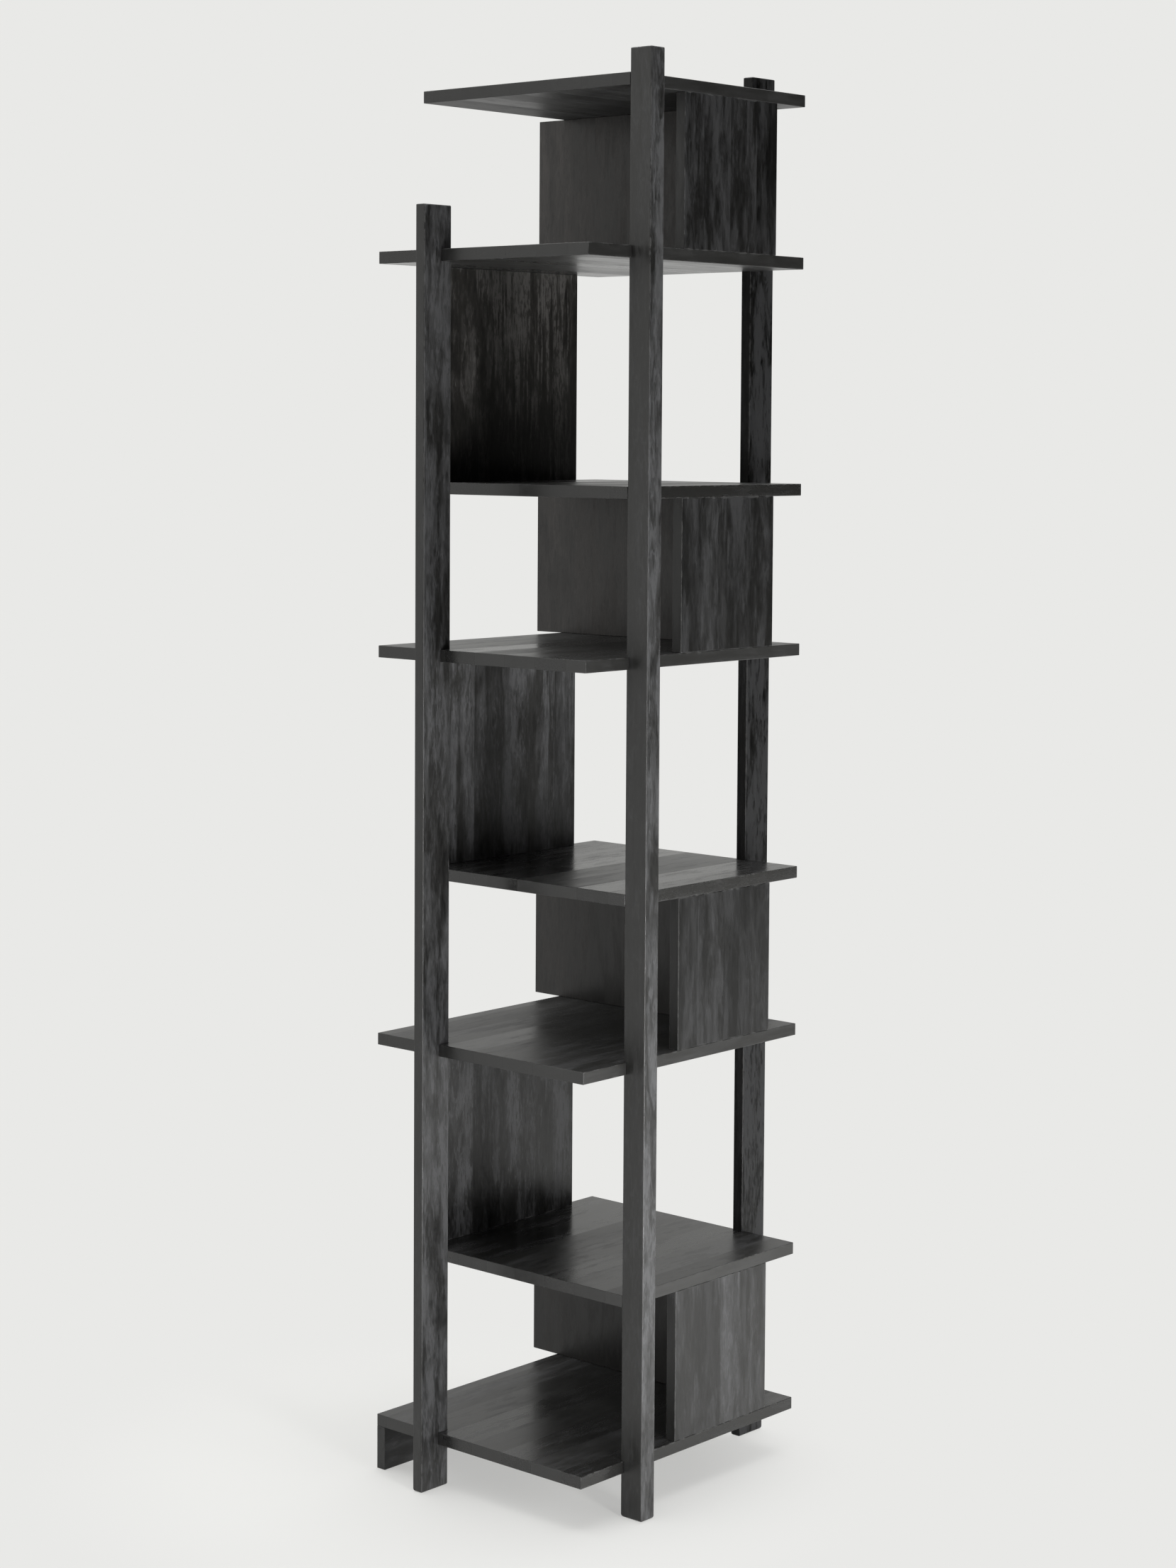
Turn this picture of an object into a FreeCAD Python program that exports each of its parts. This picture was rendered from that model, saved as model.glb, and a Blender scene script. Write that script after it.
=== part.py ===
import FreeCAD, Part
import os
import Sketcher

# Tall open bookcase of dark boards. Wide and narrow shelves alternate up three posts, and upright panels
# between the shelves make its spine: a right and a back panel in each low bay, a left panel in each tall
# bay, and a foot panel under the bottom shelf. Posts sit in notches of the shelf edges, and loose tenons
# in blind mortises hold every joint.
#
# Every piece is drawn in one plan: x runs along the front right shelf edges and y along the front left
# ones, both from the front corner of the wide shelves, with z up from the underside of the piece.
# The origin of the part is the centre of its footprint, on the floor.

# Driving dimensions in millimetres: alias, value, what it measures.
SIZES = (
    ("shelf_length", 464, "wide shelf along x"),
    ("shelf_depth", 392, "every shelf along y"),
    ("shelf_thickness", 17, "every shelf board"),
    ("narrow_setback", 88, "wide shelf corner to the narrow shelves and the front post, along x"),
    ("foot_height", 62, "floor to the bottom shelf"),
    ("low_bay", 213, "clear height from a wide shelf to the narrow one above"),
    ("tall_bay", 306, "clear height from a narrow shelf to the wide one above"),
    ("blade_length", 53, "left and rear post section along x"),
    ("blade_thickness", 17, "left and rear post section along y"),
    ("left_post_inset", 105, "left post to the back left shelf edge, along y"),
    ("left_let_in", 20, "depth of the left post in the shelf edge"),
    ("left_rise", 60, "left post above the top wide shelf"),
    ("rear_post_setback", 91, "front right shelf edge to the rear post, along y"),
    ("rear_let_in", 7, "depth of the rear post in the shelf edge"),
    ("front_post_width", 28, "front post section along x"),
    ("front_post_depth", 37, "front post section along y"),
    ("front_let_in", 5, "depth of the front post in the shelf edge"),
    ("tall_rise", 32, "front and rear post above the top shelf"),
    ("panel_thickness", 16, "every upright panel"),
    ("spine_setback", 64, "outer face of the spine to the right-hand shelf edges, along x"),
    ("right_panel_length", 203, "right panel along x, back from the outer face of the spine"),
    ("back_overhang", 48, "back panel past the back left shelf edges"),
    ("board_arris", 0.8, "chamfer on the edges of shelves and panels"),
    ("post_round", 2, "radius on the long edges of posts"),
    ("post_end_ease", 1.5, "chamfer round the ends of posts"),
    ("tenon_thickness", 6, "every loose tenon"),
    ("tenon_width", 40, "loose tenon of a panel, along its joint"),
    ("face_seat", 9, "loose tenon in the face of a board"),
    ("edge_seat", 20, "loose tenon in the edge of a panel"),
    ("post_tenon_width", 10, "loose tenon of a post, along the shelf edge"),
    ("post_seat", 25, "loose tenon in a post, and in the shelf edge behind it"),
    ("glue_room", 1, "mortise beyond the end of its tenon"),
    ("overrun", 5, "notch cut beyond the shelf edge"),
)

STOREYS = 4
RIGHT_TENON_SHARES = (0.25, 0.75)
LONG_TENON_SHARES = (0.17, 0.5, 0.83)
CORNER_TENON_SHARES = (0.25, 0.75)

# Places that several pieces share, as formulas of the driving dimensions.
CORNER_X = "-(Sizes.shelf_length + Sizes.left_let_in - Sizes.rear_let_in) / 2"
CORNER_Y = "-(Sizes.shelf_depth + Sizes.back_overhang + Sizes.front_let_in - Sizes.front_post_depth) / 2"
STOREY = "(2 * Sizes.shelf_thickness + Sizes.low_bay + Sizes.tall_bay)"
SPINE_EDGE = "(Sizes.shelf_length - Sizes.spine_setback)"
SPINE_INNER = f"({SPINE_EDGE} - Sizes.panel_thickness)"
RIGHT_START = f"({SPINE_EDGE} - Sizes.right_panel_length)"
LEFT_FACE = "(Sizes.shelf_depth - Sizes.panel_thickness)"
LEFT_POST_Y = "(Sizes.shelf_depth - Sizes.left_post_inset - Sizes.blade_thickness)"
REAR_SEAT = "(Sizes.shelf_length - Sizes.rear_let_in)"
PANEL_MARGIN = "(Sizes.panel_thickness - Sizes.tenon_thickness) / 2"
SHELF_MARGIN = "(Sizes.shelf_thickness - Sizes.tenon_thickness) / 2"
BLADE_MARGIN = "(Sizes.blade_thickness - Sizes.post_tenon_width) / 2"
FRONT_MARGIN = "(Sizes.front_post_width - Sizes.post_tenon_width) / 2"

doc = FreeCAD.newDocument("Bookcase")
sheet = doc.addObject("Spreadsheet::Sheet", "Sizes")
for row, (alias, value, meaning) in enumerate(SIZES, start=1):
    sheet.set(f"A{row}", meaning)
    sheet.set(f"B{row}", str(value))
    sheet.setAlias(f"B{row}", alias)
doc.recompute()

nodes = []


def wide_level(storey):
    """Height of the underside of a wide shelf."""
    return f"(Sizes.foot_height + {storey} * {STOREY})"


def narrow_level(storey):
    """Height of the underside of a narrow shelf."""
    return f"({wide_level(storey)} + Sizes.shelf_thickness + Sizes.low_bay)"


def above(level):
    """Height of the top of the shelf whose underside is at a level."""
    return f"({level} + Sizes.shelf_thickness)"


def new_body(name, level):
    """Start a piece whose underside is at a level."""
    body = doc.addObject("PartDesign::Body", name)
    body.Label = name
    body.setExpression("Placement.Base.x", CORNER_X)
    body.setExpression("Placement.Base.y", CORNER_Y)
    body.setExpression("Placement.Base.z", level)
    nodes.append(body)
    return body


def sketch_on(body, role, offset="0"):
    """Start a sketch on an origin plane of the piece, moved along the plane's normal."""
    sketch = body.newObject("Sketcher::SketchObject", body.Name + "_sketch")
    plane = next(feature for feature in body.Origin.OriginFeatures if feature.Role == role)
    sketch.AttachmentSupport = [(plane, "")]
    sketch.MapMode = "FlatFace"
    sketch.setExpression("AttachmentOffset.Base.z", offset)
    return sketch


def bind(sketch, constraint, formula):
    """Add a dimension to a sketch and tie it to a formula."""
    index = sketch.addConstraint(constraint)
    sketch.setExpression(f"Constraints[{index}]", formula)


def add_rectangle(sketch, left, low, width, height):
    """Draw a rectangle from its lower left corner, with all four sizes as formulas."""
    x, y, wide, high = (float(sheet.evalExpression(formula)) for formula in (left, low, width, height))
    corners = [(x, y), (x + wide, y), (x + wide, y + high), (x, y + high)]
    points = [FreeCAD.Vector(*corner) for corner in corners]
    sides = []
    for start, end in zip(points, points[1:] + points[:1]):
        sides.append(sketch.addGeometry(Part.LineSegment(start, end), False))
    bottom, right, top, left_side = sides
    for first, second in zip(sides, sides[1:] + sides[:1]):
        sketch.addConstraint(Sketcher.Constraint("Coincident", first, 2, second, 1))
    for side in (bottom, top):
        sketch.addConstraint(Sketcher.Constraint("Horizontal", side))
    for side in (right, left_side):
        sketch.addConstraint(Sketcher.Constraint("Vertical", side))
    bind(sketch, Sketcher.Constraint("DistanceX", -1, 1, bottom, 1, x), left)
    bind(sketch, Sketcher.Constraint("DistanceY", -1, 1, bottom, 1, y), low)
    bind(sketch, Sketcher.Constraint("DistanceX", bottom, 1, bottom, 2, wide), width)
    bind(sketch, Sketcher.Constraint("DistanceY", right, 1, right, 2, high), height)


def pad(body, sketch, length, reverse=False):
    """Add the sketched areas to the piece."""
    feature = body.newObject("PartDesign::Pad", body.Name + "_pad")
    feature.Profile = sketch
    feature.Reversed = reverse
    feature.setExpression("Length", length)
    doc.recompute()
    return feature


def pocket(body, sketch, depth=None, reverse=False):
    """Cut the sketched areas out of the piece, right through it where no depth is given."""
    before = body.Shape.Volume
    feature = body.newObject("PartDesign::Pocket", body.Name + "_pocket")
    feature.Profile = sketch
    feature.Reversed = reverse
    if depth is None:
        feature.Type = "ThroughAll"
    else:
        feature.setExpression("Length", depth)
    doc.recompute()
    if not body.Shape.Volume < before:
        raise RuntimeError(f"{feature.Name} cuts nothing")


def ease(body, kind, size_property, size, edges):
    """Chamfer or round edges of the piece, all of them where no names are given."""
    base = body.Tip
    feature = body.newObject(kind, body.Name + "_ease")
    feature.Base = (base, edges or ["Edge1"])
    feature.UseAllEdges = not edges
    feature.setExpression(size_property, size)
    doc.recompute()


def board(name, level, left, front, length, depth, height):
    """Make a board with eased arrises, upright or lying, from its plan and height."""
    body = new_body(name, level)
    outline = sketch_on(body, "XY_Plane")
    add_rectangle(outline, left, front, length, depth)
    pad(body, outline, height)
    ease(body, "PartDesign::Chamfer", "Size", "Sizes.board_arris", [])
    return body


def edge_names(shape, upright):
    """Name the edges of a post that stand upright, or those that lie round its ends."""
    names = []
    for number, edge in enumerate(shape.Edges, start=1):
        heights = [vertex.Z for vertex in edge.Vertexes]
        rises = max(heights) - min(heights) > Part.Precision.confusion()
        if rises == upright:
            names.append(f"Edge{number}")
    return names


def post(name, left, front, width, depth, height):
    """Make a post from the floor up, with rounded long edges and eased ends."""
    body = new_body(name, "0")
    outline = sketch_on(body, "XY_Plane")
    add_rectangle(outline, left, front, width, depth)
    pad(body, outline, height)
    ease(body, "PartDesign::Fillet", "Radius", "Sizes.post_round", edge_names(body.Shape, True))
    ease(body, "PartDesign::Chamfer", "Size", "Sizes.post_end_ease", edge_names(body.Shape, False))
    return body


def notch(body, left, front, length, depth):
    """Cut a notch for a post through the edge of a shelf."""
    outline = sketch_on(body, "XY_Plane")
    add_rectangle(outline, left, front, length, depth)
    pocket(body, outline, reverse=True)


def mortise(body, role, offset, slots, seat, reverse):
    """Cut blind mortises for loose tenons, with room for glue at their ends."""
    outline = sketch_on(body, role, offset)
    for slot in slots:
        add_rectangle(outline, *slot)
    pocket(body, outline, f"{seat} + Sizes.glue_room", reverse)


def tenons(body, role, offset, slots, length, reverse=False):
    """Add loose tenons of one length to a group of them."""
    outline = sketch_on(body, role, offset)
    for slot in slots:
        add_rectangle(outline, *slot)
    pad(body, outline, length, reverse)


def right_slots():
    """Tenon places in plan along a right panel."""
    slots = []
    for share in RIGHT_TENON_SHARES:
        left = f"{RIGHT_START} + {share} * Sizes.right_panel_length - Sizes.tenon_width / 2"
        slots.append((left, PANEL_MARGIN, "Sizes.tenon_width", "Sizes.tenon_thickness"))
    return slots


def back_slots():
    """Tenon places in plan along the stretch of a back panel that the shelves cover."""
    left = f"{SPINE_INNER} + {PANEL_MARGIN}"
    slots = []
    for share in LONG_TENON_SHARES:
        low = f"Sizes.panel_thickness + {share} * {LEFT_FACE} - Sizes.tenon_width / 2"
        slots.append((left, low, "Sizes.tenon_thickness", "Sizes.tenon_width"))
    return slots


def left_slots(start):
    """Tenon places in plan along the back left edge, from a start to the outer face of the spine."""
    low = f"{LEFT_FACE} + {PANEL_MARGIN}"
    slots = []
    for share in LONG_TENON_SHARES:
        left = f"{start} + {share} * ({SPINE_EDGE} - {start}) - Sizes.tenon_width / 2"
        slots.append((left, low, "Sizes.tenon_width", "Sizes.tenon_thickness"))
    return slots


def corner_slots():
    """Tenon places in elevation where a back panel meets a right panel."""
    left = f"{SPINE_INNER} + {PANEL_MARGIN}"
    slots = []
    for share in CORNER_TENON_SHARES:
        low = f"{share} * Sizes.low_bay - Sizes.tenon_width / 2"
        slots.append((left, low, "Sizes.tenon_thickness", "Sizes.tenon_width"))
    return slots


def front_slot(level):
    """Tenon place in elevation where the front post meets a shelf."""
    left = f"Sizes.narrow_setback + {FRONT_MARGIN}"
    return left, f"{level} + {SHELF_MARGIN}", "Sizes.post_tenon_width", "Sizes.tenon_thickness"


def blade_slot(place, level):
    """Tenon place in side elevation where the left or rear post meets a shelf."""
    left = f"{place} + {BLADE_MARGIN}"
    return left, f"{level} + {SHELF_MARGIN}", "Sizes.post_tenon_width", "Sizes.tenon_thickness"


def top_mortises(shelf, slots):
    """Cut mortises down into the top of a shelf."""
    mortise(shelf, "XY_Plane", "Sizes.shelf_thickness", slots, "Sizes.face_seat", False)


def bottom_mortises(piece, slots, seat):
    """Cut mortises up into the underside of a shelf or panel."""
    mortise(piece, "XY_Plane", "0", slots, seat, True)


def shelf_joints(shelf):
    """Cut what every shelf has: notches and mortises for the front and rear posts."""
    notch(shelf, REAR_SEAT, "Sizes.rear_post_setback", "Sizes.rear_let_in + Sizes.overrun",
          "Sizes.blade_thickness")
    mortise(shelf, "XZ_Plane", "-Sizes.front_let_in", [front_slot("0")], "Sizes.post_seat", False)
    mortise(shelf, "YZ_Plane", REAR_SEAT, [blade_slot("Sizes.rear_post_setback", "0")],
            "Sizes.post_seat", False)


def wide_shelf(storey):
    """Make a wide shelf, notched for all three posts."""
    shelf = board(f"wide_shelf_{storey + 1}", wide_level(storey), "0", "0", "Sizes.shelf_length",
                  "Sizes.shelf_depth", "Sizes.shelf_thickness")
    notch(shelf, "Sizes.narrow_setback", "-Sizes.overrun", "Sizes.front_post_width",
          "Sizes.front_let_in + Sizes.overrun")
    notch(shelf, "-Sizes.overrun", LEFT_POST_Y, "Sizes.left_let_in + Sizes.overrun",
          "Sizes.blade_thickness")
    shelf_joints(shelf)
    mortise(shelf, "YZ_Plane", "Sizes.left_let_in", [blade_slot(LEFT_POST_Y, "0")],
            "Sizes.post_seat", True)
    top_mortises(shelf, right_slots() + back_slots())
    lower_start = "Sizes.narrow_setback" if storey else "0"
    bottom_mortises(shelf, left_slots(lower_start), "Sizes.face_seat")


def narrow_shelf(storey):
    """Make a narrow shelf, whose front corner is notched flush for the front post."""
    shelf = board(f"narrow_shelf_{storey + 1}", narrow_level(storey), "Sizes.narrow_setback", "0",
                  "Sizes.shelf_length - Sizes.narrow_setback", "Sizes.shelf_depth",
                  "Sizes.shelf_thickness")
    notch(shelf, "Sizes.narrow_setback - Sizes.overrun", "-Sizes.overrun",
          "Sizes.front_post_width + Sizes.overrun", "Sizes.front_let_in + Sizes.overrun")
    shelf_joints(shelf)
    bottom_mortises(shelf, right_slots() + back_slots(), "Sizes.face_seat")
    if storey < STOREYS - 1:
        top_mortises(shelf, left_slots("Sizes.narrow_setback"))


def panel_mortises(panel, slots, bay):
    """Cut mortises into the bottom and top edges of a panel."""
    bottom_mortises(panel, slots, "Sizes.edge_seat")
    mortise(panel, "XY_Plane", bay, slots, "Sizes.edge_seat", False)


def panel_tenons(group, slots, bay):
    """Add the loose tenons at the bottom and top edges of a panel."""
    length = "Sizes.face_seat + Sizes.edge_seat"
    tenons(group, "XY_Plane", "-Sizes.face_seat", slots, length)
    tenons(group, "XY_Plane", f"{bay} - Sizes.edge_seat", slots, length)


def low_bay_panels(storey):
    """Make the right and back panels of a low bay, which meet square, with their tenons."""
    level = above(wide_level(storey))
    right = board(f"right_panel_{storey + 1}", level, RIGHT_START, "0", "Sizes.right_panel_length",
                  "Sizes.panel_thickness", "Sizes.low_bay")
    panel_mortises(right, right_slots(), "Sizes.low_bay")
    mortise(right, "XZ_Plane", "-Sizes.panel_thickness", corner_slots(), "Sizes.face_seat", True)
    back = board(f"back_panel_{storey + 1}", level, SPINE_INNER, "Sizes.panel_thickness",
                 "Sizes.panel_thickness", f"{LEFT_FACE} + Sizes.back_overhang", "Sizes.low_bay")
    panel_mortises(back, back_slots(), "Sizes.low_bay")
    mortise(back, "XZ_Plane", "-Sizes.panel_thickness", corner_slots(), "Sizes.edge_seat", False)
    right_group = new_body(f"right_panel_{storey + 1}_tenons", level)
    panel_tenons(right_group, right_slots(), "Sizes.low_bay")
    back_group = new_body(f"back_panel_{storey + 1}_tenons", level)
    panel_tenons(back_group, back_slots(), "Sizes.low_bay")
    tenons(back_group, "XZ_Plane", "Sizes.face_seat - Sizes.panel_thickness", corner_slots(),
           "Sizes.face_seat + Sizes.edge_seat", True)


def left_panel(storey):
    """Make the left panel of a tall bay with its tenons."""
    level = above(narrow_level(storey))
    slots = left_slots("Sizes.narrow_setback")
    panel = board(f"left_panel_{storey + 1}", level, "Sizes.narrow_setback", LEFT_FACE,
                  f"{SPINE_EDGE} - Sizes.narrow_setback", "Sizes.panel_thickness", "Sizes.tall_bay")
    panel_mortises(panel, slots, "Sizes.tall_bay")
    group = new_body(f"left_panel_{storey + 1}_tenons", level)
    panel_tenons(group, slots, "Sizes.tall_bay")


def foot_panel():
    """Make the panel between the floor and the bottom shelf with its tenons."""
    panel = board("foot_panel", "0", "0", LEFT_FACE, SPINE_EDGE, "Sizes.panel_thickness",
                  "Sizes.foot_height")
    mortise(panel, "XY_Plane", "Sizes.foot_height", left_slots("0"), "Sizes.edge_seat", False)
    group = new_body("foot_panel_tenons", "0")
    tenons(group, "XY_Plane", "Sizes.foot_height - Sizes.edge_seat", left_slots("0"),
           "Sizes.face_seat + Sizes.edge_seat")


def posts():
    """Make the three posts and the loose tenons that hold the shelves to them."""
    wide_levels = [wide_level(storey) for storey in range(STOREYS)]
    all_levels = wide_levels + [narrow_level(storey) for storey in range(STOREYS)]
    full_height = f"{above(narrow_level(STOREYS - 1))} + Sizes.tall_rise"
    tenon_length = "2 * Sizes.post_seat"

    front = post("front_post", "Sizes.narrow_setback", "Sizes.front_let_in - Sizes.front_post_depth",
                 "Sizes.front_post_width", "Sizes.front_post_depth", full_height)
    slots = [front_slot(level) for level in all_levels]
    mortise(front, "XZ_Plane", "-Sizes.front_let_in", slots, "Sizes.post_seat", True)
    tenons(new_body("front_post_tenons", "0"), "XZ_Plane", "Sizes.post_seat - Sizes.front_let_in", slots,
           tenon_length, True)

    left = post("left_post", "Sizes.left_let_in - Sizes.blade_length", LEFT_POST_Y,
                "Sizes.blade_length", "Sizes.blade_thickness",
                f"{above(wide_level(STOREYS - 1))} + Sizes.left_rise")
    slots = [blade_slot(LEFT_POST_Y, level) for level in wide_levels]
    mortise(left, "YZ_Plane", "Sizes.left_let_in", slots, "Sizes.post_seat", False)
    tenons(new_body("left_post_tenons", "0"), "YZ_Plane", "Sizes.left_let_in - Sizes.post_seat", slots,
           tenon_length)

    rear = post("rear_post", REAR_SEAT, "Sizes.rear_post_setback", "Sizes.blade_length",
                "Sizes.blade_thickness", full_height)
    slots = [blade_slot("Sizes.rear_post_setback", level) for level in all_levels]
    mortise(rear, "YZ_Plane", REAR_SEAT, slots, "Sizes.post_seat", True)
    tenons(new_body("rear_post_tenons", "0"), "YZ_Plane", f"{REAR_SEAT} - Sizes.post_seat", slots,
           tenon_length)


for number in range(STOREYS):
    wide_shelf(number)
    narrow_shelf(number)
    low_bay_panels(number)
for number in range(STOREYS - 1):
    left_panel(number)
foot_panel()
posts()
doc.recompute()

for item in doc.Objects:
    if "Invalid" in item.State or "Error" in item.State:
        raise RuntimeError(f"{item.Label} failed: {item.State}")
for body in nodes:
    if body.Shape.isNull() or not body.Shape.isValid():
        raise RuntimeError(f"{body.Label} has no valid shape")

os.makedirs("parts", exist_ok=True)
for body in nodes:
    body.Shape.exportStep(f"parts/{body.Label}.step")
print(len(nodes), "nodes,", sum(len(body.Shape.Solids) for body in nodes), "solids")
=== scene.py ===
"""Studio scene of the spine bookshelf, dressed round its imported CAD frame.

Shelves, panels and posts are modelled anew over their CAD nodes, with notches for the posts and arrises
eased by hand, and are finished in dark stained wood. The loose tenons inside keep their CAD solids.
Lengths are in metres.
"""
import logging
import random
from dataclasses import dataclass, field
from enum import Enum
from math import cos, radians, sin
from typing import Any, Optional, Union

import bpy
from mathutils import Matrix, Vector

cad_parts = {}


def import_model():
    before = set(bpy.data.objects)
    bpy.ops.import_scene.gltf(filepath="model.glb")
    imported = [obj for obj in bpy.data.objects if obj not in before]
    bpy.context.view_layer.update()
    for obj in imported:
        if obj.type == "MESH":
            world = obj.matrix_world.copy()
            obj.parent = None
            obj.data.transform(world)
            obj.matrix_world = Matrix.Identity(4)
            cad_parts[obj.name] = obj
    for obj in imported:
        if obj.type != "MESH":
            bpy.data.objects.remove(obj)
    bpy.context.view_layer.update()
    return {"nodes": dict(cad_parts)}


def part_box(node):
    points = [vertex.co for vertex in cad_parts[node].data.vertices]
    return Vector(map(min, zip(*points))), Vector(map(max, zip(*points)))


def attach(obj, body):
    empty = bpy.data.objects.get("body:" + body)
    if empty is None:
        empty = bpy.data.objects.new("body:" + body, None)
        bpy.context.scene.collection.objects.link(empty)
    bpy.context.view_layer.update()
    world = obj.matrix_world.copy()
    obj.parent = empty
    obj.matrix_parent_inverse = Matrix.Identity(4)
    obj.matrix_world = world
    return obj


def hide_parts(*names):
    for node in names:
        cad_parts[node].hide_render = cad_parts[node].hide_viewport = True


log = logging.getLogger("bookshelf")

BODY = "root"
PHOTO_HEIGHT = 2212
NOISE_MIDDLE = 0.5

Colour = tuple[float, float, float]
Size = tuple[float, float, float]
Span = tuple[float, float]
Socket = bpy.types.NodeSocket
Value = Union[Socket, float, Size, Colour, Vector]


class Lie(Enum):
    """How a board lies: the axes along its grain, across its staves and through its thickness."""

    SHELF = "XYZ"
    RAIL = "XZY"
    SIDE = "ZXY"
    BACK = "ZYX"

    def axis(self, place: int) -> Vector:
        """Unit vector along (0), across (1) or through (2) the board."""
        return Vector([float(name == self.value[place]) for name in "XYZ"])

    def axes(self) -> dict[str, Vector]:
        """The three unit vectors by name."""
        return {name: self.axis(place) for place, name in enumerate(("Along", "Across", "Through"))}


class Slot(Enum):
    """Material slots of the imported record."""

    SHELF = "shelf_wood"
    PANEL = "panel_wood"
    POST = "post_wood"


class Effect(Enum):
    """Shader node groups that the wood finishes share."""

    FRAME = "Grain frame"
    STAVES = "Stave layout"
    FIGURE = "Flat sawn figure"
    PORES = "Open pores"
    ENDS = "End grain"
    ARRIS = "Arris wear"
    RUNS = "Stain runs"


@dataclass(frozen=True)
class Cloud:
    """Cloudy noise: the size of its features along, across and through a board, and how it breaks up."""

    size: Size
    detail: float
    rough: float


class Graph:
    """Adds nodes to a node tree and joins them up."""

    def __init__(self, tree: bpy.types.NodeTree) -> None:
        """Work on one tree."""
        self.tree = tree

    def fill(self, socket: Socket, value: Value) -> None:
        """Link an input from an output socket, or set its plain value.

        Args:
            socket: The input.
            value: The output to link from, or the plain value.
        """
        if isinstance(value, Socket):
            self.tree.links.new(value, socket)
        else:
            socket.default_value = value

    def add(self, kind: str, inputs: Optional[dict[Any, Value]] = None, **settings: Any) -> bpy.types.Node:
        """Add a node.

        Args:
            kind: Blender's name of the node type, without its leading ShaderNode.
            inputs: Values and links by the name or number of the input.
            settings: Properties of the node.

        Returns:
            The new node.
        """
        node = self.tree.nodes.new("ShaderNode" + kind)
        for name, value in settings.items():
            setattr(node, name, value)
        for name, value in (inputs or {}).items():
            self.fill(node.inputs[name], value)
        return node

    def math(self, operation: str, *values: Value) -> Socket:
        """Result of a Math node on one to three values."""
        return self.add("Math", dict(enumerate(values)), operation=operation).outputs[0]

    def sway(self, noise: Value, weight: Value, onto: Value) -> Socket:
        """A value plus a weighted share of how far a noise lies from its middle."""
        return self.math("MULTIPLY_ADD", self.math("SUBTRACT", noise, NOISE_MIDDLE), weight, onto)

    def move(self, first: Value, second: Value, share: Value) -> Socket:
        """A value moved towards a second one by a share of the way."""
        return self.math("MULTIPLY_ADD", self.math("SUBTRACT", second, first), share, first)

    def vector(self, operation: str, first: Value, second: Value) -> Socket:
        """Vector result of a Vector Math node."""
        return self.add("VectorMath", {0: first, 1: second}, operation=operation).outputs[0]

    def dot(self, first: Value, second: Value) -> Socket:
        """Dot product of two vectors."""
        return self.add("VectorMath", {0: first, 1: second}, operation="DOT_PRODUCT").outputs["Value"]

    def split(self, vector: Value) -> list[Socket]:
        """The three parts of a vector."""
        return list(self.add("SeparateXYZ", {0: vector}).outputs)

    def join(self, *parts: Value) -> Socket:
        """The vector of three parts."""
        return self.add("CombineXYZ", dict(enumerate(parts))).outputs[0]

    def noise(self, vector: Value, cloud: Cloud) -> Socket:
        """Cloudy noise from 0 to 1."""
        inputs = {"Vector": self.vector("DIVIDE", vector, cloud.size), "Scale": 1.0,
                  "Detail": cloud.detail, "Roughness": cloud.rough}
        return self.add("TexNoise", inputs).outputs[0]

    def ramp(self, value: Value, start: Value, end: Value, low: Value = 0.0, high: Value = 1.0) -> Socket:
        """Smooth step from low to high while the value goes from start to end."""
        inputs = {"Value": value, "From Min": start, "From Max": end, "To Min": low, "To Max": high}
        return self.add("MapRange", inputs, interpolation_type="SMOOTHSTEP").outputs[0]

    def between(self, factor: Value, first: Value, second: Value) -> Socket:
        """Mix of two numbers."""
        return self.add("Mix", {0: factor, 2: first, 3: second}).outputs[0]

    def mix(self, factor: Value, first: Value, second: Value, blend: str = "MIX") -> Socket:
        """Mix of two colours."""
        node = self.add("Mix", {0: factor, 6: first, 7: second}, data_type="RGBA", blend_type=blend)
        return node.outputs[2]


def open_material(name: str) -> tuple[bpy.types.Material, Graph, bpy.types.Node]:
    """Make a material with nodes.

    Args:
        name: Name of the material.

    Returns:
        The material, its graph and its shader.
    """
    material = bpy.data.materials.new(name)
    material.use_nodes = True
    return material, Graph(material.node_tree), material.node_tree.nodes["Principled BSDF"]


def coat(piece: bpy.types.Object, material: bpy.types.Material) -> None:
    """Give a piece one material all over."""
    piece.data.materials.clear()
    piece.data.materials.append(material)


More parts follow.
